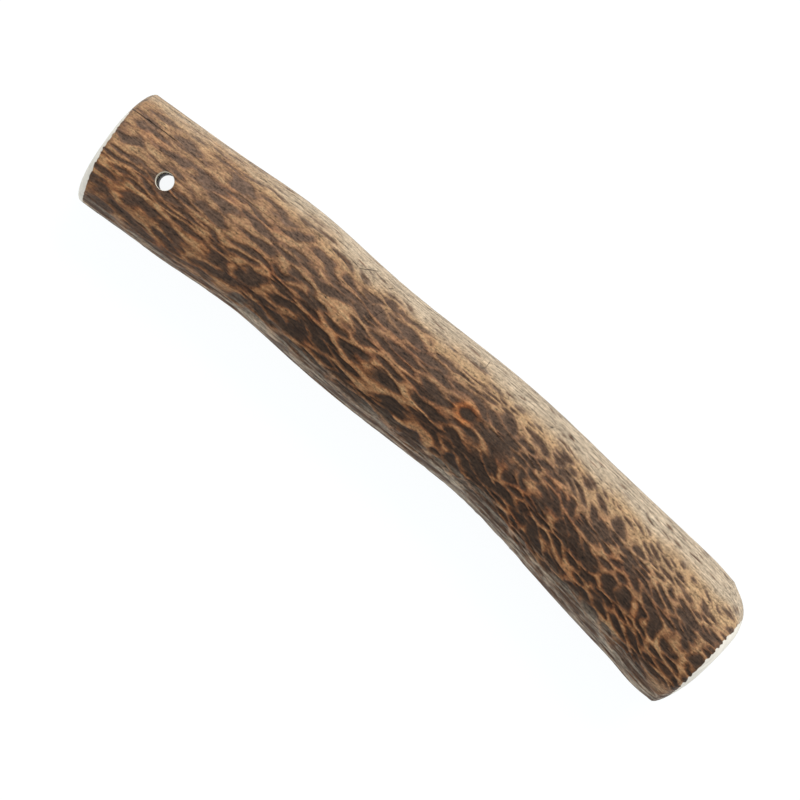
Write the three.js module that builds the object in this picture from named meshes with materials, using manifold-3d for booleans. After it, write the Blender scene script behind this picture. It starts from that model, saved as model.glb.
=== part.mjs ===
// A sawn length of deer antler, lying on its side, with a cord hole drilled through its thin end.
// Millimetres, +Z up. +X runs along the antler from the drilled end to the thick end, and +Y is the side it bows to.
// The antler grew as one piece, so it is one solid. Its section is an oval carried along a bowed centreline.
// Its skin has rows of lens-shaped furrows, staggered from row to row, so that the ridges between them meander.
import * as THREE from "three";
import { mergeVertices } from "three/addons/utils/BufferGeometryUtils.js";
import Module from "manifold-3d";

// Overall form
const LENGTH = 158.9; // between the two sawn faces, along X
const ARCH_RISE = 3.2; // how far the middle bows towards +Y
const LEAN = 0.3; // how far the thick end lies towards +Y, and the drilled end towards -Y
const HUMPS = [
  { at: -38, rise: 1.2, spread: 15 },
  { at: 20, rise: 1.5, spread: 23 },
  { at: 72, rise: -0.45, spread: 4 },
];
const WIDTH = 26.1; // across the section in the plane of the bow
const FLARE = { from: 18, to: 72, widening: 3.0 }; // the thick end
const HEIGHT_TO_WIDTH = 0.9;
const LIFT = { height: 0.7, between: 65 }; // the underside clears the ground between the three places it rests on

// Furrows
const ROWS = 30; // of furrows, round the antler
const FURROW_DEPTH = 0.55;
const FURROW_PITCH = 9.0; // from one furrow to the next along a row
const RIDGE_SWAY = 0.24; // how far a ridge bends round a furrow, as a share of a row's width
const ROW_DRIFT = 0.16; // slow wander of the rows round the antler, in radians
const WORN_SIDE = 0.3; // share of the depth left on the worn, pale side

// Sawn ends: the sanded rim's size along the antler and inwards, on the sides +Y, +Z, -Y and -Z
const THIN_RIM = { along: [2.8, 1.4, 2.7, 1.8], inward: [9.0, 1.6, 8.0, 2.2] };
const THICK_RIM = { along: [8.0, 2.6, 4.6, 2.6], inward: [8.4, 2.6, 9.4, 2.8] };

// Cord hole, drilled straight down
const HOLE = { at: -65.1, diameter: 3.7, sides: 28 };
const HOLE_LIP = { depth: 0.3, widening: 0.1 };

// Mesh
const COLUMNS = 2 * ROWS; // one down each row of furrows and one along each ridge
const RING_STEP = 2.27;
const RIM_RINGS = 6;

const HALF = LENGTH / 2;
const { smoothstep, lerp } = THREE.MathUtils;

// How far the centreline has bowed to +Y at x: a leaning parabola with rounded humps and a dip on it.
function bow(x) {
  const arch = ARCH_RISE * (1 - (x / HALF) ** 2) + (LEAN * x) / HALF;
  return HUMPS.reduce((sum, h) => sum + h.rise * Math.exp(-(((x - h.at) / h.spread) ** 2)), arch);
}

// The slope of that centreline.
function bowSlope(x) {
  const arch = (-2 * ARCH_RISE * x) / HALF ** 2 + LEAN / HALF;
  const humpSlope = (h) => (-2 * (x - h.at) * h.rise * Math.exp(-(((x - h.at) / h.spread) ** 2))) / h.spread ** 2;
  return HUMPS.reduce((sum, h) => sum + humpSlope(h), arch);
}

// Half the section's width and height at x.
function halfSizes(x) {
  const width = WIDTH + FLARE.widening * smoothstep(x, FLARE.from, FLARE.to);
  return { across: width / 2, up: (width * HEIGHT_TO_WIDTH) / 2 };
}

// Height of the centreline, so that the underside touches the ground near the ends and in the middle only.
function axisHeight(x) {
  return halfSizes(x).up + LIFT.height * Math.sin((Math.PI * x) / LIFT.between) ** 2;
}

// Radius of the plain oval at an angle from +Y towards +Z, with shallow flats and a shoulder as a beam has.
function ovalRadius(angle, x) {
  const { across, up } = halfSizes(x);
  const oval = (across * up) / Math.hypot(up * Math.cos(angle), across * Math.sin(angle));
  return oval * (1 + 0.012 * Math.cos(3 * angle + 0.02 * x) + 0.008 * Math.sin(4 * angle - 0.035 * x));
}

// Each row's furrows have a pitch, a start and a depth of their own. Rows start half a pitch apart, give or take.
THREE.MathUtils.seededRandom(11);
const rows = Array.from({ length: ROWS }, (_, i) => ({
  pitch: FURROW_PITCH * (0.85 + 0.3 * THREE.MathUtils.seededRandom()),
  start: 0.5 * (i % 2) + 0.3 * THREE.MathUtils.seededRandom(),
  depth: 0.7 + 0.5 * THREE.MathUtils.seededRandom(),
}));

// How open row i is at x: 1 in the middle of a furrow, 0 on the bridge between two.
function opening(i, x) {
  const row = rows[(i + ROWS) % ROWS];
  const waver = 0.18 * Math.sin(x / 6.1 + 2.3 * i);
  return 0.5 + 0.5 * Math.cos(2 * Math.PI * (x / row.pitch + row.start + waver));
}

// The worn side faces +Y and a little up. It starts beyond the drilled end and keeps only part of the relief.
function relief(angle, x) {
  const facing = smoothstep(Math.cos(angle - 0.35), 0.45, 0.95);
  return lerp(1, WORN_SIDE, facing * smoothstep(x, -60, -20));
}

// Angle and furrow depth of one mesh column at x. Even columns run down a row, odd ones along the ridge beside it.
function columnAt(column, x) {
  const i = Math.floor(column / 2);
  const step = (2 * Math.PI) / COLUMNS;
  const drift = ROW_DRIFT * Math.sin((1.4 * x) / HALF) + 0.02 * Math.sin(x / 9 + 0.7 * i);
  const isRidge = column % 2 === 1;
  const sway = isRidge ? 2 * RIDGE_SWAY * (opening(i, x) - opening(i + 1, x)) : 0;
  const angle = (column + sway) * step + drift;
  const row = rows[i % ROWS];
  const depth = isRidge ? 0.08 : row.depth * (0.25 + 0.75 * opening(i, x));
  return { angle, depth: FURROW_DEPTH * depth * relief(angle, x) };
}

// A rim size at an angle, eased between the sizes given for +Y, +Z, -Y and -Z.
function rimSize(sizes, angle) {
  const [c, s] = [Math.cos(angle), Math.sin(angle)];
  return c * c * sizes[c > 0 ? 0 : 2] + s * s * sizes[s > 0 ? 1 : 3];
}

// How far sanding has taken the rim in at a distance from a sawn face: a quarter of an ellipse.
function sandedOff(rim, angle, distance) {
  const reach = 1 - distance / rimSize(rim.along, angle);
  return reach > 0 ? rimSize(rim.inward, angle) * (1 - Math.sqrt(1 - Math.min(reach, 1) ** 2)) : 0;
}

// Positions of the rings along X: close together on the two rims and evenly spaced between them.
function ringPositions() {
  const rim = (size) => Array.from({ length: RIM_RINGS }, (_, k) => size * (1 - Math.cos((k * Math.PI) / 2 / RIM_RINGS)));
  const thin = rim(Math.max(...THIN_RIM.along)).map((d) => d - HALF);
  const thick = rim(Math.max(...THICK_RIM.along)).map((d) => HALF - d).reverse();
  const [from, to] = [Math.max(...THIN_RIM.along) - HALF, HALF - Math.max(...THICK_RIM.along)];
  const steps = Math.round((to - from) / RING_STEP);
  const between = Array.from({ length: steps + 1 }, (_, k) => lerp(from, to, k / steps));
  return [...thin, ...between, ...thick];
}

// A point of the skin, and how far it is sunk below the plain oval. The section stands square to the centreline.
// Sanding cuts through ridge and furrow alike.
function skinPoint(column, x) {
  const { angle, depth } = columnAt(column, x);
  const sanded = Math.max(sandedOff(THIN_RIM, angle, x + HALF), sandedOff(THICK_RIM, angle, HALF - x));
  const sunk = Math.max(depth, sanded);
  const radius = ovalRadius(angle, x) - sunk;
  const slope = bowSlope(x);
  const across = (radius * Math.cos(angle)) / Math.hypot(1, slope);
  return { sunk, position: [x - slope * across, bow(x) + across, axisHeight(x) + radius * Math.sin(angle)] };
}

// The antler as a closed skin: rings of skin points, and a flat fan over each sawn face.
// Each four-sided patch is split between the two corners that are sunk most alike, so its crease follows the ridge.
function antlerGeometry() {
  const stations = ringPositions();
  const skin = stations.flatMap((x) => Array.from({ length: COLUMNS }, (_, c) => skinPoint(c, x)));
  const points = skin.map((point) => point.position);
  const unlike = (i, j) => Math.abs(skin[i].sunk - skin[j].sunk);
  const last = stations.length - 1;
  const thinCentre = points.push([-HALF, bow(-HALF), axisHeight(-HALF)]) - 1;
  const thickCentre = points.push([HALF, bow(HALF), axisHeight(HALF)]) - 1;
  const faces = [];
  for (let c = 0; c < COLUMNS; c++) {
    const next = (c + 1) % COLUMNS;
    for (let r = 0; r < last; r++) {
      const [a, b] = [r * COLUMNS + c, r * COLUMNS + next];
      const [d, e] = [a + COLUMNS, b + COLUMNS];
      faces.push(...(unlike(a, e) < unlike(b, d) ? [a, b, e, a, e, d] : [a, b, d, b, e, d]));
    }
    faces.push(thinCentre, next, c, thickCentre, last * COLUMNS + c, last * COLUMNS + next);
  }
  const geometry = new THREE.BufferGeometry();
  geometry.setAttribute("position", new THREE.Float32BufferAttribute(points.flat(), 3));
  return geometry.setIndex(faces);
}

// The drill's path: a cylinder turned as a lathe profile that widens a little at each mouth.
function drillGeometry() {
  const tall = 2 * WIDTH;
  const [top, bottom] = [2 * axisHeight(HOLE.at) - LIFT.height, LIFT.height / 2];
  const radius = HOLE.diameter / 2;
  const wide = radius + HOLE_LIP.widening;
  const profile = [
    [0, -tall], [wide, -tall], [wide, bottom], [radius, bottom + HOLE_LIP.depth],
    [radius, top - HOLE_LIP.depth], [wide, top], [wide, tall], [0, tall],
  ];
  const outline = profile.map(([r, z]) => new THREE.Vector2(r, z));
  const drill = new THREE.LatheGeometry(outline, HOLE.sides).rotateX(Math.PI / 2);
  return drill.translate(HOLE.at, bow(HOLE.at), 0);
}

// A closed geometry as a solid that can be cut.
function solidFrom(wasm, geometry) {
  const bare = geometry.clone();
  bare.deleteAttribute("normal");
  bare.deleteAttribute("uv");
  const merged = mergeVertices(bare, 1e-4);
  return new wasm.Manifold(
    new wasm.Mesh({
      numProp: 3,
      vertProperties: merged.attributes.position.array,
      triVerts: new Uint32Array(merged.index.array),
    }),
  );
}

// A cut solid back as a geometry.
function geometryFrom(solid) {
  const { vertProperties, triVerts } = solid.getMesh();
  const geometry = new THREE.BufferGeometry();
  geometry.setAttribute("position", new THREE.BufferAttribute(vertProperties, 3));
  geometry.setIndex(new THREE.BufferAttribute(triVerts, 1));
  geometry.computeVertexNormals();
  return geometry;
}

const wasm = await Module();
wasm.setup();

const drilled = solidFrom(wasm, antlerGeometry()).subtract(solidFrom(wasm, drillGeometry()));
const geometry = geometryFrom(drilled);

const antler = new THREE.Mesh(
  geometry,
  new THREE.MeshStandardMaterial({ color: 0x7a5c42, roughness: 0.6, metalness: 0 }),
);
antler.name = "antler";

// The part's origin is under the middle of its box.
geometry.computeBoundingBox();
const { min, max } = geometry.boundingBox;
antler.position.set(-(min.x + max.x) / 2, -(min.y + max.y) / 2, -min.z);

const part = new THREE.Group();
part.add(antler);
export default part;
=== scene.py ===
"""A sawn length of deer antler lying on a pale table, seen from straight above.

Metres, +Z up, in the frame of the solid. +X runs from the drilled end to the thick end, and +Y is the worn
side. Shapes are worked out in millimetres from the middle between the sawn faces, and then moved into the
frame. Turns round the antler are counted from +Y towards +Z.
"""
import math
from types import SimpleNamespace

import bpy
import numpy as np
from bpy.props import FloatProperty, FloatVectorProperty, IntProperty, PointerProperty
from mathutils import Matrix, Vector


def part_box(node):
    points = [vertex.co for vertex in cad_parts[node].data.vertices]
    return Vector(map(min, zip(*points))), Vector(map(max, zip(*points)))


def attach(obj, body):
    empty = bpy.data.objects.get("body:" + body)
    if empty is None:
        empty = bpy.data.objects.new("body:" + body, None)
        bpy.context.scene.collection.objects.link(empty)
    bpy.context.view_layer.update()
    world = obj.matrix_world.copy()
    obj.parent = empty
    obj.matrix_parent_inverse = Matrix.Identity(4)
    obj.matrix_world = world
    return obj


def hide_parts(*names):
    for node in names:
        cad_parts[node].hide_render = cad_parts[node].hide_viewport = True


bl_info = {
    "name": "Deer antler",
    "version": (1, 0, 0),
    "blender": (4, 5, 0),
    "location": "View3D > Sidebar > Antler",
    "description": "Builds a sawn length of deer antler and the table it lies on",
    "category": "Add Mesh",
}

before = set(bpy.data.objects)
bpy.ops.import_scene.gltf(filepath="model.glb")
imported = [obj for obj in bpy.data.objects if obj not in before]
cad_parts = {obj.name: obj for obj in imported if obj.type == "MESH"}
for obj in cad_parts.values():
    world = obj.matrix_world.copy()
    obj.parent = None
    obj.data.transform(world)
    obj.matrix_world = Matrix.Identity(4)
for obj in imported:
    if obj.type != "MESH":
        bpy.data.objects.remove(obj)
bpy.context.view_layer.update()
NODE_LOW, NODE_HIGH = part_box("antler")

MM = 0.001
TURN = 2 * math.pi

# The form, in millimetres.
LEAN = 0.3  # how far the thick end lies towards +Y, and the drilled end towards -Y
HUMPS = ((-38, 1.2, 15), (20, 1.5, 23), (72, -0.45, 4))  # place, rise and spread
FLARE_FROM, FLARE_TO = 18, 72  # where it widens into the thick end
LIFT, LIFT_BETWEEN = 0.7, 65  # how far the underside clears the table, between places it rests on
SHARP_CREASE = 50  # degrees, from which an edge is shaded as sharp

# The sanded rims on the sides +Y, +Z, -Y and -Z: size along and inwards, and the width of the bare band.
THIN_RIM = {"along": (2.8, 1.4, 2.7, 1.8), "inward": (9.0, 1.6, 8.0, 2.2), "bare": (0.4, 0.5, 3.1, 1.0)}
THICK_RIM = {"along": (8.0, 2.6, 4.6, 2.6), "inward": (8.4, 2.6, 9.4, 2.8), "bare": (1.0, 1.4, 1.4, 1.2)}

# The cord hole, in millimetres. Its mouths are steps, each how much wider than the hole and how deep.
HOLE_AT = -65.1
MOUTH = ((0.1, -0.05), (0.09, 0.12), (0.0, 0.45))
DRILL_REACH = 40
DRILL_SIDES = 64

# The skin's looks, in millimetres along the antler.
THIN_FADE = (-60, -20)  # the looks of the thin end fade out between these places
THICK_FADE = (-5, 30)  # and those of the thick end come in between these
RUBBED = (-12, 22)  # place and spread of a stretch that rubbing has paled
BELT = (24, 18)  # place and spread of a darker belt
LONG_CELLS = {"length": 12.5, "rows": 60, "seed": 23}
SHORT_CELLS = {"length": 7.0, "rows": 70, "seed": 21}
FURROW_DEPTH = 0.34
KNOT_AT, KNOT_TURN = 10.7, 0.2397
GIRTH = 82  # round the antler at the knot

# Cracks and scratches of the upper side: both ends, along and across from the centreline, and how dark.
SCRATCHES = (
    ((-80.5, 7.7), (-73.6, 7.86), 1.0),
    ((-73.6, 7.86), (-68.0, 7.78), 1.0),
    ((-66.0, 7.7), (-60.5, 7.3), 0.6),
    ((-52.4, 6.37), (-42.2, 5.92), 0.6),
    ((-25.06, 9.66), (-21.6, 11.94), 0.8),
    ((-17.7, 10.41), (-16.8, 11.3), 0.8),
    ((-23.8, 7.22), (-15.4, 7.74), 0.5),
    ((-15.05, 7.39), (-16.9, 2.4), 0.4),
    ((7.7, 10.45), (7.75, 11.95), 0.6),
    ((24.2, 9.2), (25.3, 11.0), 0.4),
    ((36.5, 10.2), (36.6, 11.6), 0.4),
    ((-30.5, 9.4), (-29.0, 8.2), 0.4),
)
SCRATCH_FADE = 0.4  # a scratch fades out over this much past its end, and as much before
SCRATCH_BEYOND = 1.5  # and counts as near this far past its end
SCRATCH_REACH = 9.0  # no point counts as further from a scratch than this
OUT_OF_SIGHT = 99.0  # a place across for the underside, far from every scratch

# Fine noise in the skin's material: features per metre along, across and up, then its detail and roughness.
GRAINS = {
    "fray": ((430, 1050, 1050), 4.0, 0.62),
    "grit": ((1000, 1500, 1500), 4.0, 0.70),
    "fibre": ((500, 2900, 2900), 3.0, 0.60),
    "strands": ((90, 1900, 1900), 3.0, 0.55),
    "speckle": ((1600, 2600, 2600), 3.0, 0.65),
    "patch": ((110, 300, 300), 4.0, 0.60),
    "stripes": ((80, 950, 950), 3.0, 0.60),
    "pores": ((1100, 1100, 1100), 3.0, 0.60),
    "uneven": ((240, 240, 240), 3.0, 0.60),
    "sawn": ((300, 120, 2400), 2.0, 0.50),
}

# The stage, in metres and degrees, and the colours of its lights.
TABLE_REACH = 6.0
TABLE_LIGHT = (0.97, 0.99, 1.0)
SKY_LIGHT = (0.96, 0.98, 1.0)
KEY_LIGHT = (1.0, 0.985, 0.96)
KEY_SIZE = (1.2, 0.8)
KEY_PLACE = (0.1, 1.1, 1.15)
KEY_TILT = -43.7
SENSOR_WIDTH = 36.0  # in millimetres, as a camera's sensor is given

FAR = 1e9
TINY = 1e-6


def ease(x, start, end):
    """0 before start, 1 after end, and a smooth step between: three squares less two cubes of the share."""
    share = np.clip((x - start) / (end - start), 0, 1)
    return share * share * (3 - 2 * share)


def bell(x, at, spread):
    """1 at a place and less to both sides: e to the minus square of the distance, counted in spreads."""
    return np.exp(-(((x - at) / spread) ** 2))


def dice(i, j, seed):
    """A repeatable draw in 0..1 for a lattice point: its whole numbers are mixed by products and shifts."""
    by_i, by_j, by_seed, second, third = 374761393, 668265263, 974634777, 1274126177, 2246822519
    word, kept = 0xFFFFFFFF, 0xFFFFFF
    mixed = (np.asarray(i, np.int64) * by_i + np.asarray(j, np.int64) * by_j + seed * by_seed) & word
    mixed = ((mixed ^ (mixed >> 13)) * second) & word
    mixed = ((mixed ^ (mixed >> 16)) * third) & word
    return ((mixed ^ (mixed >> 15)) & kept) / float(kept)


def waves(along, turn, length, count, seed):
    """Smooth noise in about -1..1: a random slope at each point of a lattice, blended by an S-curve.

    The lattice measures `length` mm by 1/`count` turn, and closes on itself round the antler without a seam.
    """
    full_range = 1.7  # brings the blend of slopes to about -1..1
    x, y = along / length, turn * count
    i, j = np.floor(x).astype(np.int64), np.floor(y).astype(np.int64)
    fx, fy = x - i, y - j
    sx, sy = (f * f * f * (f * (f * 6 - 15) + 10) for f in (fx, fy))
    total = 0.0
    for di in (0, 1):
        for dj in (0, 1):
            angle = TURN * dice(i + di, (j + dj) % count, seed)
            value = np.cos(angle) * (fx - di) + np.sin(angle) * (fy - dj)
            total = total + value * (sx if di else 1 - sx) * (sy if dj else 1 - sy)
    return full_range * total


def rough(along, turn, length, count, seed, octaves=3, keep=0.5):
    """Waves of several sizes added up, each half as long and `keep` times as strong as the one before."""
    total, norm = 0.0, 0.0
    for k in range(octaves):
        total = total + keep**k * waves(along, turn, length / 2**k, count * 2**k, seed + 17 * k)
        norm += keep ** (2 * k)
    return total / np.sqrt(norm)


def spindle_net(x, turn, rows, seed, jitter=1.15, reach=1.9):
    """How far a point is inside a net of staggered spindle-shaped cells, in row heights: 0 on a ridge.

    Each lattice cell holds one centre, moved at random, and every second row is moved on by half a cell.
    Lengths along the antler count `reach` times, which makes the cells two rows high and points their ends.
    The ridge lies halfway between the two nearest centres. The second result is the distance to the nearer.
    """
    y = turn * rows
    row_here = np.floor(y).astype(np.int64)
    best = np.full(x.shape, FAR)
    own_x, own_y = np.zeros(x.shape), np.zeros(x.shape)
    centres = []
    for up in (-2, -1, 0, 1, 2):
        row = row_here + up
        shift = 0.5 * (row % 2)
        column_here = np.floor(x - shift).astype(np.int64)
        for over in (-1, 0, 1):
            column = column_here + over
            moved_x = 0.5 * jitter * (dice(column, row % rows, seed) - 0.5)
            moved_y = jitter * (dice(column, row % rows, seed + 1) - 0.5)
            centre_x, centre_y = column + shift + 0.5 + moved_x, row + 0.5 + moved_y
            square = (reach * (centre_x - x)) ** 2 + (centre_y - y) ** 2
            centres.append((centre_x, centre_y, square))
            nearer = square < best
            best = np.where(nearer, square, best)
            own_x, own_y = np.where(nearer, centre_x, own_x), np.where(nearer, centre_y, own_y)
    inside = np.full(x.shape, FAR)
    for centre_x, centre_y, square in centres:
        gap = np.hypot((centre_x - own_x) * reach, centre_y - own_y)
        to_ridge = (square - best) / (2 * np.maximum(gap, TINY))
        inside = np.where(gap > TINY, np.minimum(inside, to_ridge), inside)
    return inside, np.sqrt(best)


def half_length(form):
    """Half the distance between the two sawn faces, in mm."""
    return form.length / MM / 2


def bow(x, form):
    """The centreline's place across the antler: a leaning parabola with rounded humps and a dip on it."""
    half = half_length(form)
    arch = form.arch_rise / MM * (1 - (x / half) ** 2) + LEAN * x / half
    return arch + sum(rise * bell(x, at, spread) for at, rise, spread in HUMPS)


def bow_slope(x, form):
    """The slope of that centreline, by the difference over a hundredth of a millimetre."""
    step = 0.005
    return (bow(x + step, form) - bow(x - step, form)) / (2 * step)


def half_sizes(x, form):
    """Half the section's width and height at x: it widens smoothly towards the thick end."""
    width = (form.width + form.flare * ease(x, FLARE_FROM, FLARE_TO)) / MM
    return width / 2, width * form.height_to_width / 2


def axis_height(x, form):
    """The centreline's height: the underside touches the table near both ends and in the middle."""
    return half_sizes(x, form)[1] + LIFT * np.sin(math.pi * x / LIFT_BETWEEN) ** 2


def oval_radius(angle, x, form):
    """Radius of the plain section: an oval with three lobes of 1.2% and four of 0.8% that turn along it."""
    across, up = half_sizes(x, form)
    oval = across * up / np.hypot(up * np.cos(angle), across * np.sin(angle))
    return oval * (1 + 0.012 * np.cos(3 * angle + 0.02 * x) + 0.008 * np.sin(4 * angle - 0.035 * x))


def by_side(sizes, angle):
    """A size eased between the four for the sides +Y, +Z, -Y and -Z, by the squares of cosine and sine."""
    c, s = np.cos(angle), np.sin(angle)
    return c**2 * np.where(c > 0, sizes[0], sizes[2]) + s**2 * np.where(s > 0, sizes[1], sizes[3])


def sanded_off(rim, angle, distance):
    """How far sanding has taken a rim in at a distance from its sawn face: a quarter of an ellipse."""
    reach = np.clip(1 - distance / by_side(rim["along"], angle), 0, 1)
    return by_side(rim["inward"], angle) * (1 - np.sqrt(1 - reach**2))


def cell_depth(place, around, cells):
    """Above 0 in the middle of a spindle-shaped cell, and below 0 on the rounded ridges between cells."""
    rounding, ridge, middle = 0.12, 0.20, 0.50
    inside, centre = spindle_net(place / cells["length"], around, cells["rows"], cells["seed"])
    from_ridge = np.sqrt(inside**2 + rounding**2) - rounding
    return 0.9 * (from_ridge - ridge) + 0.7 * (middle - centre)


def furrow_frame(x, turn):
    """Place along and turn round in the net of furrows, which leans, wanders and wavers over the antler.

    It leans by half a thousandth of a turn for each mm along, and more steeply past two places.
    """
    lean = -0.0005 * (x + 30) - 0.0012 * np.maximum(x - 10, 0) - 0.0012 * np.maximum(x - 32, 0)
    wander = 0.014 * rough(x, turn, length=34, count=5, seed=3, octaves=2)
    wander = wander + 0.006 * rough(x, turn, length=11, count=16, seed=5, octaves=2)
    around = turn + lean + wander + 0.003 * waves(x, turn, length=3, count=50, seed=9)
    place = x + 1.6 * waves(x, turn, length=9, count=20, seed=12)
    return place, around


def skin_zones(x, turn, place, around):
    """How far each point is in each zone of the skin, from 0 to 1, with borders roughened by noise.

    thin and thick: towards either end. sandy: yellow tan beside the worn side. worn: the worn pale side.
    grey: the side away from it, grey tan with a painted reflection of the pale table along that edge.
    rubbed: a paler stretch of the worn side. side is the cosine of the angle from the middle of the worn
    side, so it runs from 1 there to -1 on the far side.
    """
    thin = 1 - ease(x, *THIN_FADE)
    thick = ease(x, *THICK_FADE)
    side = np.cos((turn - 0.02) * TURN)
    patchy = rough(place, around, length=12, count=14, seed=71, octaves=4)
    sandy = ease(side + 0.12 * patchy - 0.22 * thin + 0.22 * thick - 0.12, 0.42, 1.0)
    worn = ease(side + 0.05 * patchy - 0.12 * thin + 0.06 * thick, 0.76, 0.98)
    border = 0.05 * rough(x, turn, length=12, count=30, seed=73)
    # The grey band on the side away from the worn one: the skin's grey tan, and a painted reflection of the
    # pale table along that edge.
    grey = ease(-np.cos(turn * TURN) + border + 0.05 * thick - 0.08 * thin, 0.72, 0.97)
    rubbed = bell(x, *RUBBED) * ease(side, 0.0, 0.6)
    return SimpleNamespace(
        thin=thin, thick=thick, side=side, sandy=sandy, worn=worn, grey=grey, rubbed=rubbed
    )


def net_of_furrows(turn, place, around, zones):
    """The pattern of furrows: above 0 in a furrow and below 0 on a ridge.

    Long cells turn into shorter ones towards the thick end. Streaks at the thin end, and noise of two sizes
    everywhere, make some cells run together and some ridges broad.
    """
    sway = 0.018 * waves(place, turn, length=13, count=14, seed=8)
    sway = sway + 0.010 * waves(place, turn, length=6.5, count=26, seed=18)
    long_cells = cell_depth(place, around + sway, LONG_CELLS)
    short_cells = cell_depth(place, around + sway, SHORT_CELLS)
    border = 0.45 * rough(place, turn, length=18, count=9, seed=61, octaves=2)
    short_share = ease(zones.thick + border - 0.05, 0.35, 0.65)
    net = long_cells * (1 - short_share) + short_cells * short_share
    streaks = 0.62 * zones.thin * rough(place, around, length=12, count=50, seed=15, keep=0.6)
    patches = 0.42 - 0.10 * zones.thick - 0.14 * zones.thin
    broad = streaks + patches * rough(place, around, length=6.0, count=44, seed=1)
    broad = broad + 0.32 * rough(place, around, length=12, count=22, seed=7, octaves=2)
    return (1.6 - 0.45 * zones.thin) * net + broad


def furrow_tone(x, turn, place, around, zones):
    """How dark the skin is by its furrows: the net squashed by tanh, with its level and contrast by zone.

    level is higher where furrows are broad and dark, and lower on the pale sides. calm is below 1 where
    rubbing has taken contrast away. Slow noise is added to both.
    """
    thin, side, rubbed = zones.thin, zones.side, zones.rubbed
    level = 0.24 - (0.12 + 0.10 * thin) * side - 0.50 * zones.sandy - 0.12 * zones.worn - 0.27 * thin
    level = level + 0.12 * bell(x, *BELT) - 0.05 * rubbed
    calm = 1 - thin * (0.30 * ease(side, -0.3, 0.6) + 0.18 * ease(-side, 0.1, 0.6)) - 0.22 * rubbed
    tone = 0.16 * rough(place, around, length=5, count=52, seed=27, octaves=2)
    tone = tone + 0.12 * waves(x, around, length=16, count=14, seed=29)
    net = net_of_furrows(turn, place, around, zones)
    return calm * 0.66 * np.tanh((net + 0.8 * level) / 0.42) + tone + 0.42 * level


def knot_fields(x, turn):
    """The small knot: its ring, open towards the thick end, its dark heart, its surroundings and its orange.

    All of them follow the distance in mm from its middle, in which lengths along the antler count for less.
    """
    along, across = x - KNOT_AT, -(turn - KNOT_TURN) * GIRTH
    from_knot = np.hypot(along / 1.7, across)
    from_ring = np.hypot(along / 1.15, across) - 2.1
    from_ring = from_ring + 0.45 * rough(x, turn, length=4, count=60, seed=77, octaves=2)
    ring = bell(from_ring, 0, 0.75) * (1 - ease(along, 0.0, 2.8))
    ring = ring * (0.85 + 0.3 * waves(x, turn, length=2.5, count=50, seed=78))
    heart = 1 - ease(from_knot, 0.7, 1.5)
    near = 1 - ease(from_knot, 1.2, 3.2)
    orange = np.clip(ring + 0.5 * near * (1 - heart) * (1 - ease(along, 0, 3)), 0, 1)
    return ring, heart, near, orange


def relief(x, turn, around, furrow, zones):
    """Relief in mm below the oval: furrows, slow swells and fine roughness.

    The furrows are shallower on sandy skin, at the thin end and on the two sides seen edge on.
    """
    depth = FURROW_DEPTH * ease(furrow, -0.40, 0.42) * (1 - 0.6 * zones.sandy) * (1 - 0.25 * zones.thin)
    depth = depth * (1 - 0.55 * ease(np.abs(np.cos(turn * TURN)), 0.72, 1.0))
    depth = depth - 0.09 * rough(x, turn, length=22, count=5, seed=33)
    return depth - 0.04 * rough(x, around, length=4, count=120, seed=81)


def skin(x, turn):
    """The skin's relief and its fields at x mm along and `turn` turns round, each a whole array.

    furrow: above 0 in a furrow and below 0 on a ridge. sandy, worn and grey: the zones. rust: more where
    the ridges are reddish. lump: lighter and darker lumps. knot: orange round the knot. faded: how far the
    furrows are paled, by rubbing, at the thin end and by a painted reflection of the sky that grows towards
    the worn side. haze: how greyed the ridges are.
    """
    place, around = furrow_frame(x, turn)
    zones = skin_zones(x, turn, place, around)
    ring, heart, near, orange = knot_fields(x, turn)
    furrow = furrow_tone(x, turn, place, around, zones)
    furrow = furrow * (1 - 0.8 * near) + 0.80 * heart - 0.75 * ring + 0.10 * near
    at_thin_end = zones.thin * (0.30 + 0.12 * ease(zones.side, 0, 0.6))
    # Furrows paled by rubbing and at the thin end, plus a painted reflection of the sky that grows towards
    # the worn side.
    fade_and_sheen = 0.34 * ease(zones.side, -0.35, 0.85) + 0.22 * zones.rubbed + at_thin_end
    haze = ease(zones.side, -0.35, 0.5) * (0.12 + 0.03 * zones.thin)
    fields = {
        "furrow": furrow,
        "sandy": zones.sandy,
        "worn": zones.worn,
        "grey": zones.grey,
        "rust": rough(x, around, length=14, count=18, seed=95, octaves=4),
        "lump": rough(x, around, length=3.0, count=60, seed=97),
        "knot": orange,
        "fade_and_sheen": fade_and_sheen * (1 - near),
        "haze": haze * (1 - near),
    }
    return relief(x, turn, around, furrow, zones), fields


def scratch_marks(x, across):
    """Signed distance in mm to the nearest scratch, and its strength there, for points seen from above.

    A scratch is a straight line between two points (x, across), and its strength fades at both ends.
    """
    offset, strength = np.full(x.shape, SCRATCH_REACH), np.zeros(x.shape)
    for (x0, y0), (x1, y1), dark in SCRATCHES:
        length = math.hypot(x1 - x0, y1 - y0)
        ux, uy = (x1 - x0) / length, (y1 - y0) / length
        along = (x - x0) * ux + (across - y0) * uy
        off = (across - y0) * ux - (x - x0) * uy
        starts = ease(along, -SCRATCH_FADE, SCRATCH_FADE)
        ends = ease(along, length - SCRATCH_FADE, length + SCRATCH_FADE)
        beside = (along > -SCRATCH_BEYOND) & (along < length + SCRATCH_BEYOND)
        closer = (np.abs(off) < np.abs(offset)) & beside
        offset = np.where(closer, off, offset)
        strength = np.where(closer, dark * starts * (1 - ends), strength)
    return offset, strength


def ring_places(form):
    """Places of the rings along x: close together on the two rims, evenly spaced between them."""
    half = half_length(form)
    thin_rim, thick_rim = max(THIN_RIM["along"]), max(THICK_RIM["along"])
    curve = 1 - np.cos(np.arange(form.rim_rings) * math.pi / 2 / form.rim_rings)
    between = np.linspace(thin_rim - half, half - thick_rim, form.rings)
    return np.concatenate([thin_rim * curve - half, between, (half - thick_rim * curve)[::-1]])


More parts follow.
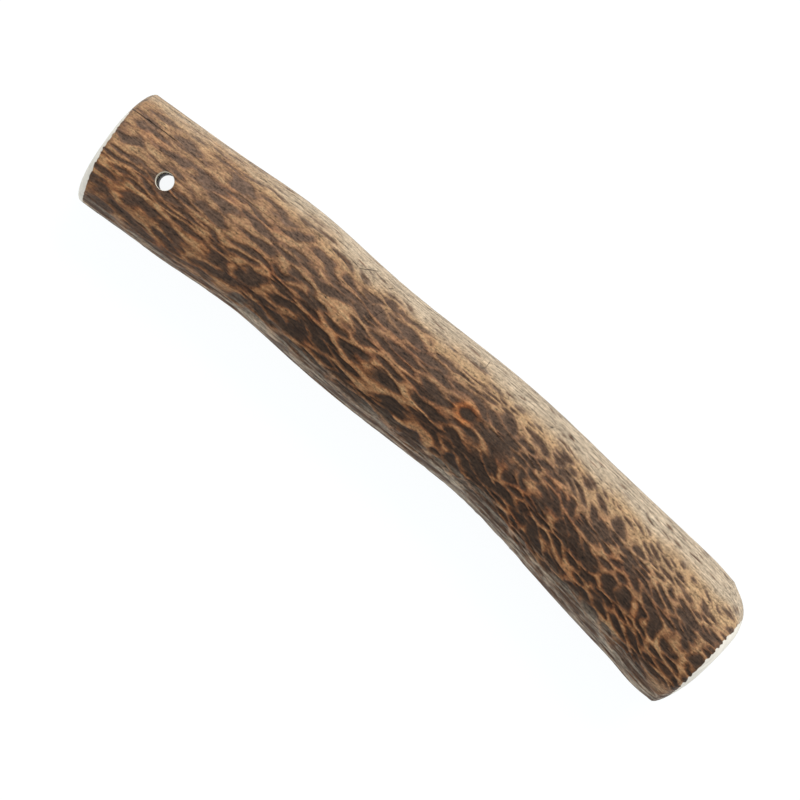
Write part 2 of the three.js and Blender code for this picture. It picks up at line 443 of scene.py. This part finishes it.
def skin_points(x, turn, form):
    """Points of the skin: a section square to the centreline, less the larger of relief and sanding.

    The second result has the same points on a straight axis, for the grain to follow. The fields gain the
    scratches, and how bare the bone is: above 0 inside the ragged band that sanding cleared.
    """
    half = half_length(form)
    angle = turn * TURN
    depth, fields = skin(x, turn)
    sanded = np.maximum(sanded_off(THIN_RIM, angle, x + half), sanded_off(THICK_RIM, angle, half - x))
    radius = oval_radius(angle, x, form) - np.maximum(depth, sanded)
    straight = np.stack([x, radius * np.cos(angle), radius * np.sin(angle)], -1)
    slope = bow_slope(x, form)
    across = straight[..., 1] / np.hypot(1, slope)
    height = axis_height(x, form) + straight[..., 2]
    points = np.stack([x - slope * across, bow(x, form) + across, height], -1)

    seen_above = np.where(np.sin(angle) > 0, straight[..., 1], OUT_OF_SIGHT)
    fields["scratch"], fields["scratched"] = scratch_marks(x, seen_above)
    in_thin_band = by_side(THIN_RIM["bare"], angle) - (x + half)
    in_thick_band = by_side(THICK_RIM["bare"], angle) - (half - x)
    fields["bare"] = np.maximum(in_thin_band, in_thick_band) - 0.9 * (depth - 0.1)
    return points, straight, fields


def over_faces(grid, rings, centres=None):
    """A grid of rings, carried on over both sawn faces: each face's outline shrunk in equal steps.

    The rings run towards the two centres and stop one step short of them. Without centres, the values of
    the outline are held over the face.
    """
    if centres is None:
        thin, thick = (np.repeat(grid[row][None], rings - 1, axis=0) for row in (0, -1))
    else:
        share = (np.arange(1, rings) / rings)[:, None, None]
        thin, thick = (grid[row][None] * (1 - share) + centres[row] * share for row in (0, -1))
    return np.concatenate([thin[::-1], grid, thick])


def grid_quads(rings, columns):
    """Faces between the rings of a grid that closes on itself round each ring."""
    start = np.arange(rings - 1)[:, None] * columns
    first = start + np.arange(columns)[None]
    second = start + (np.arange(columns)[None] + 1) % columns
    return np.stack([first, second, second + columns, first + columns], -1).reshape(-1, 4)


def build_antler_mesh(form):
    """The closed skin as one mesh: a grid of rings and columns, carried over the sawn faces to two poles.

    The mesh is set in the middle of the node's box, on its underside. The second result is the move in mm
    that this took.
    """
    columns, half = form.columns, half_length(form)
    x, turn = np.meshgrid(ring_places(form), np.arange(columns) / columns, indexing="ij")
    points, straight, fields = skin_points(x, turn, form)
    at = np.array([-half, half])
    poles = np.stack([at, bow(at, form), axis_height(at, form)], -1)
    axis_poles = np.stack([at, np.zeros(2), np.zeros(2)], -1)
    grid = over_faces(points, form.face_rings, poles)
    straight = over_faces(straight, form.face_rings, axis_poles)
    fields = {name: over_faces(values, form.face_rings) for name, values in fields.items()}
    across, up = half_sizes(straight[..., 0], form)
    core = 1 - np.hypot(straight[..., 1] / across, straight[..., 2] / up)

    flat = np.concatenate([grid.reshape(-1, 3), poles])
    low, high = flat.min(axis=0), flat.max(axis=0)
    shift = (np.array(NODE_LOW) + np.array(NODE_HIGH)) / 2 / MM - (low + high) / 2
    shift[2] = NODE_LOW[2] / MM - low[2]

    rings = grid.shape[0]
    side = np.arange(columns)
    beside = (side + 1) % columns
    last, pole = (rings - 1) * columns, rings * columns
    thin_fan = np.stack([np.full(columns, pole), beside, side], -1)
    thick_fan = np.stack([np.full(columns, pole + 1), last + side, last + beside], -1)
    mesh = bpy.data.meshes.new("antler_skin")
    fill_mesh(mesh, (flat + shift) * MM, (grid_quads(rings, columns), thin_fan, thick_fan))
    for name, values in fields.items():
        store(mesh, name, np.concatenate([values.reshape(-1), [values[0].mean(), values[-1].mean()]]))
    store(mesh, "core", np.concatenate([core.reshape(-1), [1.0, 1.0]]))
    store(mesh, "straight", np.concatenate([straight.reshape(-1, 3), axis_poles]) * MM)
    return mesh, shift


def fill_mesh(mesh, vertices, face_sets):
    """Put vertices and sets of equal-sided faces into a mesh with whole arrays."""
    loops = np.concatenate([faces.reshape(-1) for faces in face_sets]).astype(np.int32)
    sizes = np.concatenate([np.full(len(faces), faces.shape[1]) for faces in face_sets])
    starts = np.concatenate([[0], np.cumsum(sizes)[:-1]]).astype(np.int32)
    mesh.vertices.add(len(vertices))
    mesh.vertices.foreach_set("co", np.ascontiguousarray(vertices, np.float32).reshape(-1))
    mesh.loops.add(len(loops))
    mesh.loops.foreach_set("vertex_index", loops)
    mesh.polygons.add(len(sizes))
    mesh.polygons.foreach_set("loop_start", starts)
    mesh.polygons.foreach_set("use_smooth", np.ones(len(sizes), bool))
    mesh.update(calc_edges=True)
    mesh.validate()


def store(mesh, name, values):
    """Keep one number or one vector for each point of a mesh."""
    kind, slot = ("FLOAT", "value") if values.ndim == 1 else ("FLOAT_VECTOR", "vector")
    layer = mesh.attributes.new(name, kind, "POINT")
    layer.data.foreach_set(slot, np.ascontiguousarray(values, np.float32).reshape(-1))


def drill_mesh(form, shift):
    """The drill's path: a profile of radius against height, wider at both mouths, turned round its axis."""
    radius = form.hole / MM / 2
    top = 2 * axis_height(HOLE_AT, form) - LIFT + shift[2]
    bottom = LIFT / 2 + shift[2]
    wide = radius + MOUTH[0][0]
    lower_mouth = [(radius + wider, bottom + depth) for wider, depth in MOUTH]
    upper_mouth = [(radius + wider, top - depth) for wider, depth in reversed(MOUTH)]
    profile = [(wide, -DRILL_REACH), *lower_mouth, *upper_mouth, (wide, DRILL_REACH)]
    angle = np.arange(DRILL_SIDES) / DRILL_SIDES * TURN
    centre_x, centre_y = HOLE_AT + shift[0], bow(HOLE_AT, form) + shift[1]
    r, z = (np.array(values)[:, None] for values in zip(*profile))
    rings = [centre_x + r * np.cos(angle), centre_y + r * np.sin(angle), z + 0 * angle]
    lower = np.arange(DRILL_SIDES)[::-1][None]
    upper = ((len(profile) - 1) * DRILL_SIDES + np.arange(DRILL_SIDES))[None]
    mesh = bpy.data.meshes.new("drill")
    quads = grid_quads(len(profile), DRILL_SIDES)
    fill_mesh(mesh, np.stack(rings, -1).reshape(-1, 3) * MM, (quads, lower, upper))
    return mesh


def read(items, name, width=1, kind=np.float32):
    """One property of all items of a mesh as an array, with `width` numbers for each item."""
    values = np.empty(len(items) * width, kind)
    items.foreach_get(name, values)
    return values.reshape(-1, width) if width > 1 else values


def mend_fields(cut, whole):
    """Give the points on the hole's wall and mouths the fields of the skin before it was cut.

    Each gets the mean of the nearest points of the whole skin, weighted by the inverse of squared distance.
    """
    neighbours, near_hole, least_square = 4, 5 * MM, 1e-12
    of_bore = np.repeat(
        read(cut.polygons, "material_index", kind=np.int32) == 1,
        read(cut.polygons, "loop_total", kind=np.int32),
    )
    new = np.unique(read(cut.loops, "vertex_index", kind=np.int32)[of_bore])
    places, old = read(cut.vertices, "co", 3)[new], read(whole.vertices, "co", 3)
    near = np.flatnonzero(np.abs(old[:, 0] - places[:, 0].mean()) < near_hole)
    squares = ((places[:, None] - old[near][None]) ** 2).sum(axis=2)
    closest = np.argsort(squares, axis=1)[:, :neighbours]
    weights = 1 / (np.take_along_axis(squares, closest, axis=1) + least_square)
    weights /= weights.sum(axis=1, keepdims=True)
    layers = [layer for layer in whole.attributes if layer.domain == "POINT"]
    for layer in [layer for layer in layers if not (layer.is_required or layer.is_internal)]:
        slot, width = ("vector", 3) if layer.data_type == "FLOAT_VECTOR" else ("value", 1)
        before = read(layer.data, slot, width).reshape(-1, width)
        target = cut.attributes[layer.name].data
        after = read(target, slot, width).reshape(-1, width)
        after[new] = (before[near][closest] * weights[..., None]).sum(axis=1)
        target.foreach_set(slot, after.reshape(-1))


def cut_hole(antler, drill):
    """Cut the drill's path out of the antler, and keep the result as the antler's own mesh."""
    cut = antler.modifiers.new("drilled", "BOOLEAN")
    cut.object = drill
    cut.operation = "DIFFERENCE"
    cut.solver = "EXACT"
    cut.material_mode = "TRANSFER"
    bpy.context.view_layer.update()
    drilled = antler.evaluated_get(bpy.context.evaluated_depsgraph_get())
    result = bpy.data.meshes.new_from_object(drilled)
    mend_fields(result, antler.data)
    antler.modifiers.clear()
    antler.data = result
    result.name = "antler_skin"
    bpy.data.objects.remove(drill)


class NodeGraph:
    """A material's nodes, with short calls that add a node, join its inputs and give back its output."""

    MIX_SHARE, MIX_A, MIX_B, MIX_RESULT = 0, 6, 7, 2  # the colour sockets of a Mix node

    def __init__(self, name):
        self.material = bpy.data.materials.new(name)
        self.material.use_nodes = True
        self.tree = self.material.node_tree
        self.shader = self.tree.nodes["Principled BSDF"]

    def add(self, kind, inputs=None, output=0, **settings):
        """A new node with its settings made and its inputs joined."""
        node = self.tree.nodes.new(kind)
        for key, value in settings.items():
            setattr(node, key, value)
        for key, value in (inputs or {}).items():
            self.join(value, node.inputs[key])
        return node.outputs[output]

    def join(self, value, socket):
        """Link an output to a socket, or give the socket a number, a vector or an opaque colour."""
        if isinstance(value, bpy.types.NodeSocket):
            self.tree.links.new(value, socket)
        elif socket.type == "RGBA":
            socket.default_value = (*value, 1)
        else:
            socket.default_value = value

    def field(self, name):
        """A number kept for each point of the mesh."""
        return self.add("ShaderNodeAttribute", attribute_name=name, output="Fac")

    def math(self, operation, a, b=0.0, c=0.0):
        """One step of arithmetic."""
        return self.add("ShaderNodeMath", {0: a, 1: b, 2: c}, operation=operation)

    def times(self, a, b):
        """A product."""
        return self.math("MULTIPLY", a, b)

    def sum(self, base, *terms):
        """A base plus terms, each a value and its factor."""
        for value, factor in terms:
            base = self.math("MULTIPLY_ADD", value, factor, base)
        return base

    def step(self, value, start, end, low=0.0, high=1.0):
        """A smooth step of a value between start and end."""
        inputs = {"Value": value, "From Min": start, "From Max": end, "To Min": low, "To Max": high}
        return self.add("ShaderNodeMapRange", inputs, interpolation_type="SMOOTHSTEP")

    def noise(self, place, size, detail, roughness=0.55):
        """Noise in 0..1, with features of a given number per metre along each axis."""
        stretched = self.add("ShaderNodeMapping", {"Vector": place, "Scale": size})
        inputs = {"Vector": stretched, "Scale": 1.0, "Detail": detail, "Roughness": roughness}
        return self.add("ShaderNodeTexNoise", inputs, output="Fac")

    def mix(self, share, a, b, kind="MIX"):
        """Colour a blended into colour b by a share, or put through it as a filter if kind is MULTIPLY."""
        node = self.tree.nodes.new("ShaderNodeMix")
        node.data_type, node.blend_type = "RGBA", kind
        self.join(share, node.inputs[self.MIX_SHARE])
        self.join(a, node.inputs[self.MIX_A])
        self.join(b, node.inputs[self.MIX_B])
        return node.outputs[self.MIX_RESULT]

    def tint(self, colour, share, filter_colour):
        """A colour multiplied by another one, to a share."""
        return self.mix(share, colour, filter_colour, "MULTIPLY")

    def scale_colour(self, colour, factor):
        """A colour made lighter or darker by a factor."""
        return self.tint(colour, 1.0, self.add("ShaderNodeCombineColor", {0: factor, 1: factor, 2: factor}))

    def ramp(self, share, *stops):
        """A colour that runs through the stops, each a place and a colour."""
        node = self.tree.nodes.new("ShaderNodeValToRGB")
        self.join(share, node.inputs[0])
        elements = node.color_ramp.elements
        for (place, colour), element in zip(stops, (elements[0], elements[1])):
            element.position, element.color = place, (*colour, 1)
        for place, colour in stops[2:]:
            elements.new(place).color = (*colour, 1)
        return node.outputs[0]


def skin_colour(g, looks, field, grain, height, mark):
    """Tan ridges with rusty sides and dark furrows, then the sandy, worn and grey zones over them.

    Each zone has its own run of colours from ridge to furrow. Fine noise then lightens and darkens it all,
    and the scratches darken it.
    """
    share = g.sum(0.5, (height, 0.5))
    colour = g.ramp(share, (0.08, looks.pale), (0.28, looks.tan), (0.44, looks.rust),
                    (0.60, looks.brown), (0.78, looks.furrow), (1.0, looks.furrow))
    redness = g.sum(g.times(field.rust, 0.8), (grain.patch, 2.2), (field.sandy, -0.5))
    colour = g.tint(colour, g.step(redness, -0.1, 0.9, 0.0, 0.7), looks.redden)
    colour = g.tint(colour, g.times(field.knot, 0.74), looks.knot)
    # Furrows paled towards dusty brown by rubbing, and by a painted reflection of the sky towards the worn
    # side.
    colour = g.mix(g.times(field.fade_and_sheen, g.step(share, 0.15, 0.75)), colour, looks.fade_and_sheen)
    colour = g.mix(g.times(field.haze, g.step(share, 1.0, 0.3)), colour, looks.grey)

    sand = g.ramp(share, (0.10, looks.sand), (0.34, looks.sand), (0.56, looks.worn_line),
                  (0.80, looks.brown))
    colour = g.mix(g.times(field.sandy, 0.85), colour, sand)
    lined = g.sum(share, (grain.strands, 1.0), (grain.stripes, 1.3))
    aged = g.ramp(lined, (0.05, looks.worn), (0.40, looks.worn), (0.78, looks.worn_line),
                  (0.98, looks.brown))
    colour = g.mix(g.times(field.worn, 0.9), colour, aged)
    # The striped grey band, with a painted reflection of the pale table along the edge away from the worn
    # side.
    striped = g.sum(0.62, (height, 0.18), (grain.stripes, 4.2))
    greyed = g.ramp(striped, (0.08, looks.worn), (0.38, looks.grey), (0.72, looks.worn_line),
                    (1.0, looks.brown))
    colour = g.mix(g.times(field.grey, 0.82), colour, greyed)

    by_strands = g.sum(0.5, (field.worn, 1.6))
    by_grit = g.sum(2.3, (field.worn, -1.4))
    by_speckle = g.sum(2.1, (field.worn, -0.6))
    light = g.sum(1.0, (grain.fibre, 1.8), (grain.strands, by_strands), (grain.grit, by_grit),
                  (grain.speckle, by_speckle), (field.lump, 0.10))
    return g.scale_colour(g.scale_colour(colour, light), g.sum(1.0, (mark, -0.78)))


def bone_colour(g, looks, field, grain, spongy):
    """Ivory that darkens a little inwards, a pitted spongy core, and the saw's fine lines over both."""
    pitted = g.ramp(g.sum(0.5, (grain.pores, 4.0)), (0.30, looks.pores), (0.48, looks.core),
                    (0.85, looks.sand))
    dense = g.mix(g.step(field.core, 0.05, 0.50, 0.0, 0.30), looks.bone, looks.core)
    return g.scale_colour(g.mix(spongy, dense, pitted), g.sum(1.0, (grain.sawn, 0.5)))


def antler_material(looks):
    """Furrowed skin, and bare bone where it was sawn and sanded, with fine bumps by the same noise."""
    g = NodeGraph("antler_skin")
    names = ("furrow", "sandy", "worn", "grey", "rust", "lump", "knot", "fade_and_sheen", "haze", "bare", "core",
             "scratch", "scratched")
    field = SimpleNamespace(**{name: g.field(name) for name in names})
    place = g.add("ShaderNodeAttribute", attribute_name="straight", output="Vector")
    grain = SimpleNamespace(**{
        name: g.math("SUBTRACT", g.noise(place, size, detail, roughness), 0.5)
        for name, (size, detail, roughness) in GRAINS.items()
    })
    height = g.sum(field.furrow, (grain.fray, 1.15), (grain.grit, 0.8), (grain.fibre, 0.5))
    line = g.math("ABSOLUTE", g.sum(field.scratch, (grain.speckle, 0.25)))
    mark = g.times(g.step(line, 0.16, 0.04), field.scratched)
    spongy = g.step(g.sum(field.core, (grain.pores, 0.5), (grain.uneven, 0.8)), 0.40, 0.58)
    is_bare = g.step(g.sum(field.bare, (grain.fray, 0.5)), -0.06, 0.10)
    skin_part = skin_colour(g, looks, field, grain, height, mark)
    bone_part = bone_colour(g, looks, field, grain, spongy)

    bumps = g.sum(g.times(grain.strands, 0.8), (grain.fibre, 0.9), (grain.speckle, 0.6),
                  (grain.grit, 0.9), (height, -0.35), (mark, -0.6))
    bumps = g.times(bumps, g.sum(1.0, (is_bare, -0.9)))
    pits = g.times(g.sum(0.5, (grain.pores, 3.0)), spongy)
    bumps = g.math("ADD", bumps, g.times(pits, is_bare))
    bump = g.add("ShaderNodeBump", {"Strength": 0.8, "Distance": 0.0003, "Height": bumps})
    g.shader.inputs["Specular IOR Level"].default_value = 0.2
    g.join(g.mix(is_bare, skin_part, bone_part), g.shader.inputs["Base Color"])
    g.join(g.sum(0.6, (grain.speckle, 0.8)), g.shader.inputs["Roughness"])
    g.join(bump, g.shader.inputs["Normal"])
    return g.material


def bore_material(looks):
    """The hole's wall: bare bone by its upper mouth, painted shade in mottled rust and brown below, and the
    drill's fine rings.
    """
    g = NodeGraph("antler_bore")
    place = g.add("ShaderNodeTexCoord", output="Object")
    height = g.add("ShaderNodeSeparateXYZ", {0: place}, output="Z")
    rings = g.noise(place, (200, 200, 3000), 2.0)
    stain = g.noise(place, (300, 300, 160), 3.0)
    # Mottled rust and brown, which stands as painted shade deep in the hole.
    shade_and_stain = g.mix(g.step(stain, 0.35, 0.65), looks.rust, looks.brown)
    # Painted shade: dark below a height of 13 mm, bare bone above 19 mm, by the upper mouth.
    colour = g.mix(g.step(height, 0.013, 0.019), shade_and_stain, looks.bone)
    bump = g.add("ShaderNodeBump", {"Strength": 0.4, "Distance": 0.0001, "Height": rings})
    g.shader.inputs["Roughness"].default_value = 0.6
    g.join(colour, g.shader.inputs["Base Color"])
    g.join(bump, g.shader.inputs["Normal"])
    return g.material


class AntlerForm(bpy.types.PropertyGroup):
    """The antler's sizes."""

    length: FloatProperty(
        name="Length", description="Between the two sawn faces", default=0.1589, unit="LENGTH")
    width: FloatProperty(
        name="Width", description="Across the thin end", default=0.0261, unit="LENGTH")
    flare: FloatProperty(
        name="Flare", description="How much wider the thick end is", default=0.003, unit="LENGTH")
    height_to_width: FloatProperty(
        name="Height to width", description="How flat the oval lies", default=0.9)
    arch_rise: FloatProperty(
        name="Arch", description="How far the middle bows sideways", default=0.0032, unit="LENGTH")
    hole: FloatProperty(
        name="Hole", description="Diameter of the cord hole", default=0.0037, unit="LENGTH")
    columns: IntProperty(
        name="Columns", description="Mesh columns round the antler", default=320)
    rings: IntProperty(
        name="Rings", description="Mesh rings between the rims", default=225)
    rim_rings: IntProperty(
        name="Rim rings", description="Mesh rings on each rim", default=14)
    face_rings: IntProperty(
        name="Face rings", description="Mesh rings over each sawn face", default=14)


class AntlerLooks(bpy.types.PropertyGroup):
    """The antler's colours."""

    pale: FloatVectorProperty(
        name="Ridge tops", description="Pale tan of the broadest ridges", subtype="COLOR",
        default=(0.4793, 0.3005, 0.15))
    tan: FloatVectorProperty(
        name="Ridges", description="Tan of the ridges", subtype="COLOR",
        default=(0.3515, 0.1812, 0.0802))
    rust: FloatVectorProperty(
        name="Ridge sides", description="Rusty brown beside the ridges", subtype="COLOR",
        default=(0.1812, 0.0762, 0.0307))
    brown: FloatVectorProperty(
        name="Slopes", description="Brown of the slopes into the furrows", subtype="COLOR",
        default=(0.0887, 0.0452, 0.0242))
    furrow: FloatVectorProperty(
        name="Furrows", description="Dark brown of the furrows", subtype="COLOR",
        default=(0.0452, 0.0262, 0.016))
    redden: FloatVectorProperty(
        name="Redden", description="Filter over reddish patches", subtype="COLOR",
        default=(0.93, 0.7, 0.56))
    knot: FloatVectorProperty(
        name="Knot", description="Filter over the ring round the knot", subtype="COLOR",
        default=(1.0, 0.62, 0.36))
    # Dusty brown of rubbed furrows, also used as the painted reflection of the sky in the furrows of the
    # worn side.
    fade_and_sheen: FloatVectorProperty(
        name="Faded furrows", description="Dusty brown of furrows that rubbing has paled", subtype="COLOR",
        default=(0.162, 0.0976, 0.0666))
    sand: FloatVectorProperty(
        name="Sandy skin", description="Yellow tan beside the worn side", subtype="COLOR",
        default=(0.4397, 0.2918, 0.159))
    worn: FloatVectorProperty(
        name="Worn side", description="Pale tan of the worn side", subtype="COLOR",
        default=(0.491, 0.3968, 0.2874))
    worn_line: FloatVectorProperty(
        name="Worn furrows", description="Brown of the marks on the worn side", subtype="COLOR",
        default=(0.1946, 0.1248, 0.0802))
    # Grey tan, which also paints the reflection of the pale table on the side away from the worn one.
    grey: FloatVectorProperty(
        name="Grey side", description="Grey tan of the side away from the worn one", subtype="COLOR",
        default=(0.3325, 0.2874, 0.2232))
    bone: FloatVectorProperty(
        name="Bare bone", description="Ivory of the sanded rims", subtype="COLOR",
        default=(0.85, 0.81, 0.72))
    pores: FloatVectorProperty(
        name="Pores", description="Dark brown of the pores in the core", subtype="COLOR",
        default=(0.10, 0.065, 0.04))
    core: FloatVectorProperty(
        name="Spongy core", description="Grey tan of the sawn core", subtype="COLOR",
        default=(0.46, 0.36, 0.25))


class StudioSettings(bpy.types.PropertyGroup):
    """The table, the lights and the camera."""

    table: FloatVectorProperty(
        name="Table", description="The table's colour", subtype="COLOR", default=(0.1, 0.101, 0.102))
    table_glow: FloatProperty(
        name="Table glow", description="Light that the table itself gives", default=0.95)
    sky: FloatProperty(
        name="Sky", description="Light from all around", default=0.62)
    key: FloatProperty(
        name="Key light", description="Power of the large soft light", default=16.0, unit="POWER")
    camera_height: FloatProperty(
        name="Camera height", description="Above the antler", default=1.4, unit="LENGTH")
    view_width: FloatProperty(
        name="View width", description="Width of table in the picture", default=0.160, unit="LENGTH")
    aim: FloatVectorProperty(
        name="Aim", description="Point in the middle of the picture", subtype="TRANSLATION",
        default=(-0.00139, -0.00324, 0.012))
    roll: FloatProperty(
        name="Roll", description="How far the camera is turned over the table", subtype="ANGLE",
        default=math.radians(40.92))


class ANTLER_OT_build(bpy.types.Operator):
    """Build the antler with its skin, its sawn ends and its hole"""

    bl_idname = "antler.build"
    bl_label = "Build antler"

    def execute(self, context):
        form, looks = context.scene.antler_form, context.scene.antler_looks
        mesh, shift = build_antler_mesh(form)
        antler = bpy.data.objects.new("antler_skin", mesh)
        context.scene.collection.objects.link(antler)
        mesh.materials.append(antler_material(looks))
        drill = bpy.data.objects.new("drill", drill_mesh(form, shift))
        drill.data.materials.append(bore_material(looks))
        context.scene.collection.objects.link(drill)
        cut_hole(antler, drill)
        antler.data.set_sharp_from_angle(angle=math.radians(SHARP_CREASE))
        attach(antler, "root")
        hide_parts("antler")
        return {"FINISHED"}


def build_table(studio):
    """A wide flat table that glows a little, so that nearly no shadow shows on it."""
    reach = TABLE_REACH
    mesh = bpy.data.meshes.new("table")
    corners = [(-reach, -reach, 0), (reach, -reach, 0), (reach, reach, 0), (-reach, reach, 0)]
    mesh.from_pydata(corners, [], [(0, 1, 2, 3)])
    table = bpy.data.objects.new("table", mesh)
    bpy.context.scene.collection.objects.link(table)
    g = NodeGraph("table")
    g.shader.inputs["Base Color"].default_value = (*studio.table, 1)
    g.shader.inputs["Roughness"].default_value = 0.9
    g.shader.inputs["Emission Color"].default_value = (*TABLE_LIGHT, 1)
    g.shader.inputs["Emission Strength"].default_value = studio.table_glow
    mesh.materials.append(g.material)


def build_lights(studio):
    """Even light from all around, and one large soft light above the worn side."""
    world = bpy.data.worlds.new("pale_room")
    world.use_nodes = True
    background = world.node_tree.nodes["Background"]
    background.inputs["Color"].default_value = (*SKY_LIGHT, 1)
    background.inputs["Strength"].default_value = studio.sky
    bpy.context.scene.world = world
    light = bpy.data.lights.new("soft_key", "AREA")
    light.shape = "RECTANGLE"
    light.size, light.size_y = KEY_SIZE
    light.energy = studio.key
    light.color = KEY_LIGHT
    lamp = bpy.data.objects.new("soft_key", light)
    lamp.location = KEY_PLACE
    lamp.rotation_euler = (math.radians(KEY_TILT), 0, 0)
    bpy.context.scene.collection.objects.link(lamp)


def build_camera(studio):
    """A camera straight above, turned so that the antler runs from the upper left to the lower right."""
    data = bpy.data.cameras.new("camera")
    data.sensor_width = SENSOR_WIDTH
    data.lens = data.sensor_width * studio.camera_height / studio.view_width
    camera = bpy.data.objects.new("camera", data)
    aim = tuple(studio.aim)
    camera.location = (aim[0], aim[1], aim[2] + studio.camera_height)
    camera.rotation_euler = (0, 0, studio.roll)
    bpy.context.scene.collection.objects.link(camera)
    bpy.context.scene.camera = camera
    bpy.context.scene.view_settings.view_transform = "Standard"


class ANTLER_OT_stage(bpy.types.Operator):
    """Build the pale table, the soft lights and the camera"""

    bl_idname = "antler.stage"
    bl_label = "Build stage"

    def execute(self, context):
        studio = context.scene.antler_studio
        build_table(studio)
        build_lights(studio)
        build_camera(studio)
        return {"FINISHED"}


class ANTLER_PT_panel(bpy.types.Panel):
    """The antler's sizes, colours and stage"""

    bl_idname = "ANTLER_PT_panel"
    bl_label = "Antler"
    bl_space_type = "VIEW_3D"
    bl_region_type = "UI"
    bl_category = "Antler"

    def draw(self, context):
        layout, scene = self.layout, context.scene
        for group in (scene.antler_form, scene.antler_looks, scene.antler_studio):
            box = layout.box()
            for name in group.__annotations__:
                box.prop(group, name)
        layout.operator(ANTLER_OT_build.bl_idname)
        layout.operator(ANTLER_OT_stage.bl_idname)


CLASSES = (AntlerForm, AntlerLooks, StudioSettings, ANTLER_OT_build, ANTLER_OT_stage, ANTLER_PT_panel)


def register():
    """Make the classes and the scene's settings known."""
    for cls in CLASSES:
        bpy.utils.register_class(cls)
    bpy.types.Scene.antler_form = PointerProperty(type=AntlerForm)
    bpy.types.Scene.antler_looks = PointerProperty(type=AntlerLooks)
    bpy.types.Scene.antler_studio = PointerProperty(type=StudioSettings)


def unregister():
    """Take the classes and the scene's settings away again."""
    del bpy.types.Scene.antler_studio
    del bpy.types.Scene.antler_looks
    del bpy.types.Scene.antler_form
    for cls in reversed(CLASSES):
        bpy.utils.unregister_class(cls)


def main():
    """Register the classes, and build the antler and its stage."""
    register()
    bpy.ops.antler.build()
    bpy.ops.antler.stage()


if __name__ == "__main__":
    main()
